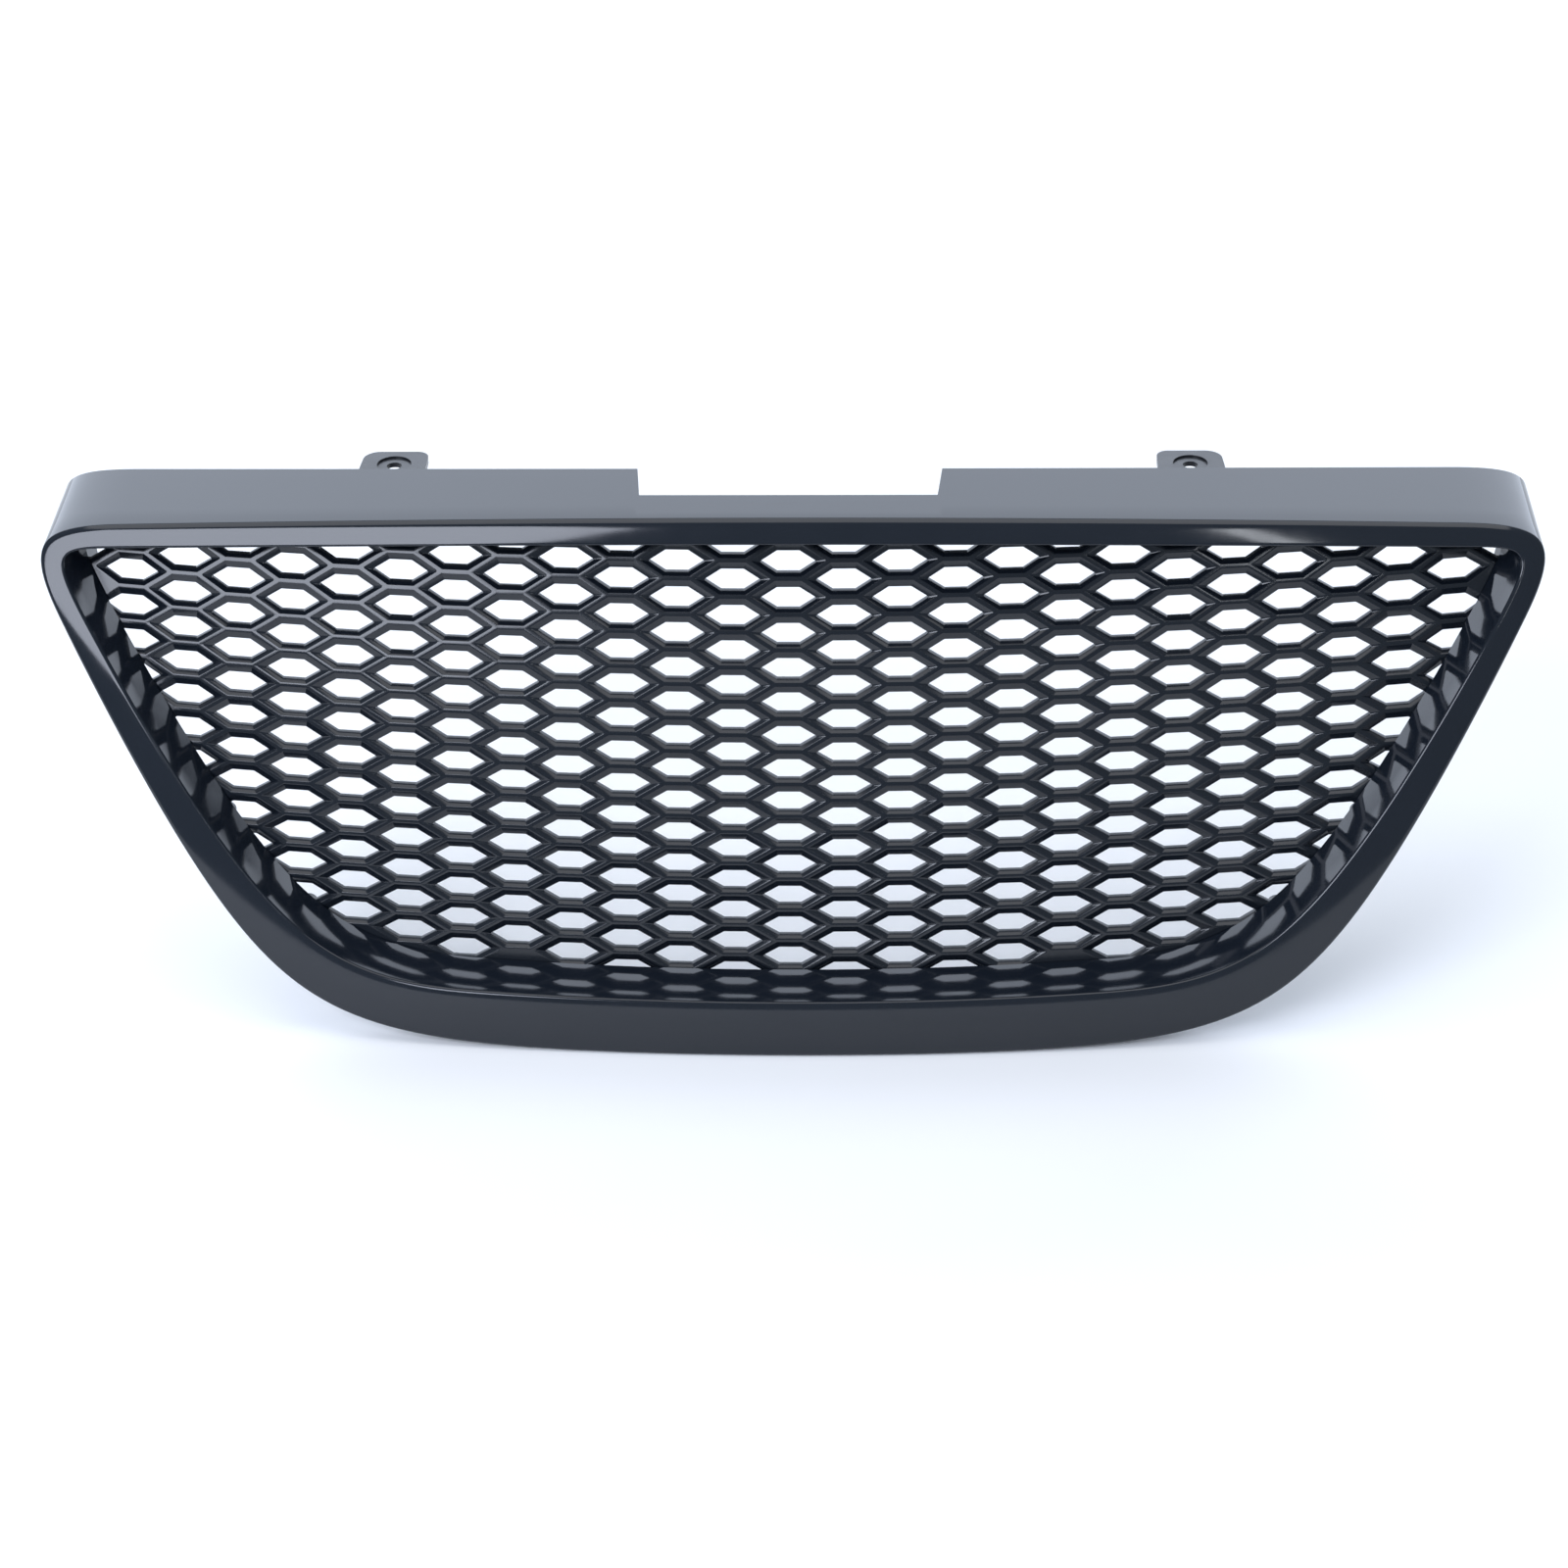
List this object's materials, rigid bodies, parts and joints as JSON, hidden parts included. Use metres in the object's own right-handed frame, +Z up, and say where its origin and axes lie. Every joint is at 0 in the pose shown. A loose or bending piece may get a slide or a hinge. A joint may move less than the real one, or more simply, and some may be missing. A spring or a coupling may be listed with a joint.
{
  "type": "front grille",
  "caption": "Vehicle front grille: gloss black surround with a deep top flange, recessed honeycomb mesh insert, top fixing brackets and lower spring clips",
  "frame": {"origin": "midpoint between the two top fixing holes, on the floor of the shallow recesses round them", "axes": "+X across the grille to the viewer's right when its front is seen, +Y to the rear of the vehicle, +Z up along the fixing holes"},
  "size_m": [0.7008, 0.1742, 0.2382],
  "materials": {
    "gloss_moulding": "polished",
    "mesh_moulding": "semi-gloss",
    "bracket_moulding": "semi-gloss",
    "zinc_screw": "zinc plated",
    "spring_steel": "phosphated"
  },
  "bodies": {
    "root": {"surround": "gloss_moulding", "honeycomb_insert": "mesh_moulding", "top_bracket_left": "bracket_moulding", "top_bracket_right": "bracket_moulding", "insert_screw_01": "zinc_screw", "insert_screw_02": "zinc_screw", "insert_screw_03": "zinc_screw", "insert_screw_04": "zinc_screw", "insert_screw_05": "zinc_screw", "insert_screw_06": "zinc_screw", "insert_screw_07": "zinc_screw", "insert_screw_08": "zinc_screw", "insert_screw_09": "zinc_screw", "insert_screw_10": "zinc_screw", "insert_screw_11": "zinc_screw", "insert_screw_12": "zinc_screw", "bracket_screw_left_1": "zinc_screw", "bracket_screw_left_2": "zinc_screw", "bracket_screw_right_1": "zinc_screw", "bracket_screw_right_2": "zinc_screw", "lower_clip_left": "spring_steel", "lower_clip_right": "spring_steel"}
  },
  "joints": []
}
